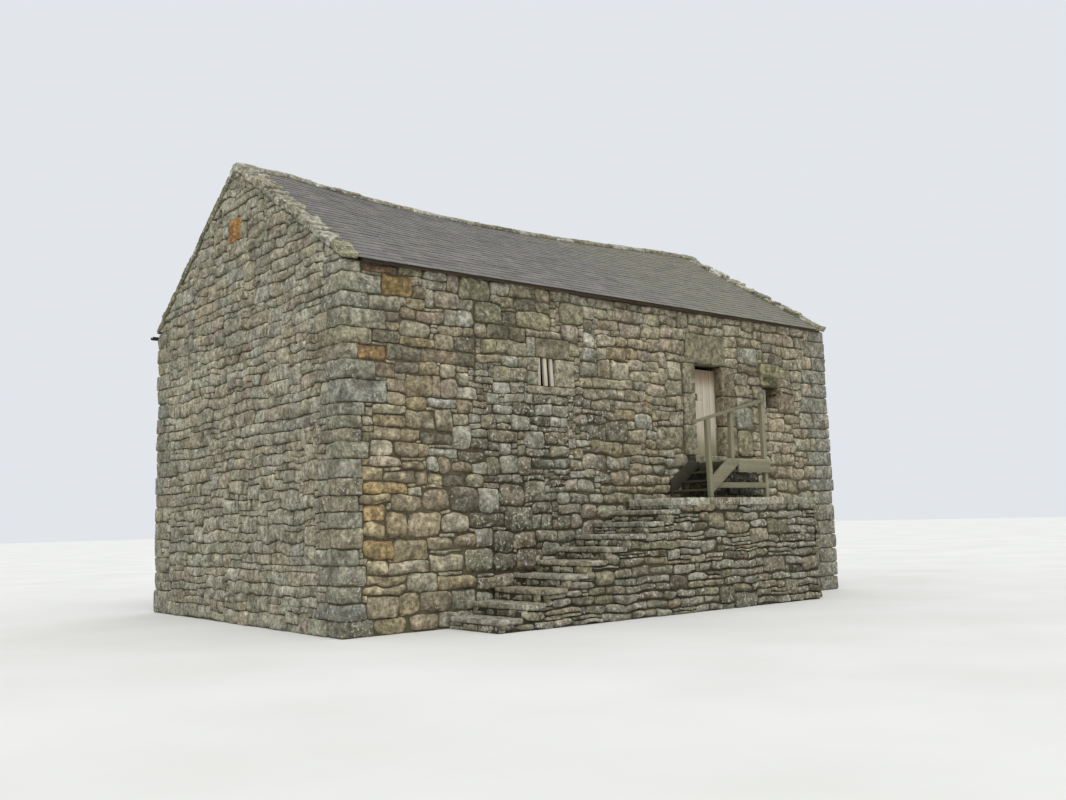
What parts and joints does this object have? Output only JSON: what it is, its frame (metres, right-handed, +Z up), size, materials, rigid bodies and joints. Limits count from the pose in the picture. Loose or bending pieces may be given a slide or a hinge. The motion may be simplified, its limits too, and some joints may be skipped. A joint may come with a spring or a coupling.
{
  "type": "two-storey stone farmhouse with forestair",
  "caption": "Thick-walled rubble stone farmhouse over a byre, with a sagging slate roof between raised gable copings and an upper doorway on an outside stone and timber stair.",
  "frame": {"origin": "ground level, under the middle of the box around the walls, forestair and rear gutter", "axes": "+X along the front wall to the right, +Y from the front wall to the back, +Z up"},
  "size_m": [11.2, 8.262, 7.5233],
  "materials": {
    "rubble": "rough weathered rubble with lichen",
    "drystone": "thin dry-laid stones",
    "flagstone": "lichened flags",
    "dressed_stone": "tooled sandstone, weathered",
    "coping_stone": "pale lichened coping",
    "slate": "dull grey-brown slate with moss",
    "roof_timber": "old sawn timber",
    "floor_timber": "worn boards and beams",
    "door_boards": "bleached boards",
    "white_paint": "weathered white paint",
    "stair_timber": "green-grey weathered timber",
    "cast_iron": "dull black iron"
  },
  "bodies": {
    "root": {"lower_front_wall": "rubble", "lower_rear_wall": "rubble", "lower_left_gable": "rubble", "lower_right_gable": "rubble", "upper_front_wall": "rubble", "upper_rear_wall": "rubble", "upper_left_gable": "rubble", "upper_right_gable": "rubble", "forestair_core": "drystone", "forestair_treads": "flagstone", "platform_slabs": "flagstone", "byre_door_jambs": "dressed_stone", "byre_door_lintel": "dressed_stone", "window_jambs": "dressed_stone", "window_lintel": "dressed_stone", "window_sill": "dressed_stone", "door_jambs": "dressed_stone", "door_lintel": "dressed_stone", "door_threshold": "dressed_stone", "small_window_lintel": "dressed_stone", "left_skews": "coping_stone", "right_skews": "coping_stone", "kneelers": "coping_stone", "saddle_stones": "coping_stone", "ridge_stones": "coping_stone", "front_slates": "slate", "rear_slates": "slate", "roof_purlins": "roof_timber", "roof_trusses": "roof_timber", "floor_beams": "floor_timber", "floor_boards": "floor_timber", "door_leaf": "door_boards", "small_window_frame": "white_paint", "stair_stringers": "stair_timber", "stair_treads": "stair_timber", "landing_rim_board": "stair_timber", "landing_joists": "stair_timber", "landing_deck": "stair_timber", "newel_post": "stair_timber", "middle_post": "stair_timber", "landing_post": "stair_timber", "handrail": "stair_timber", "lower_rail": "stair_timber", "rear_gutter": "cast_iron", "gutter_straps": "cast_iron"}
  },
  "joints": []
}
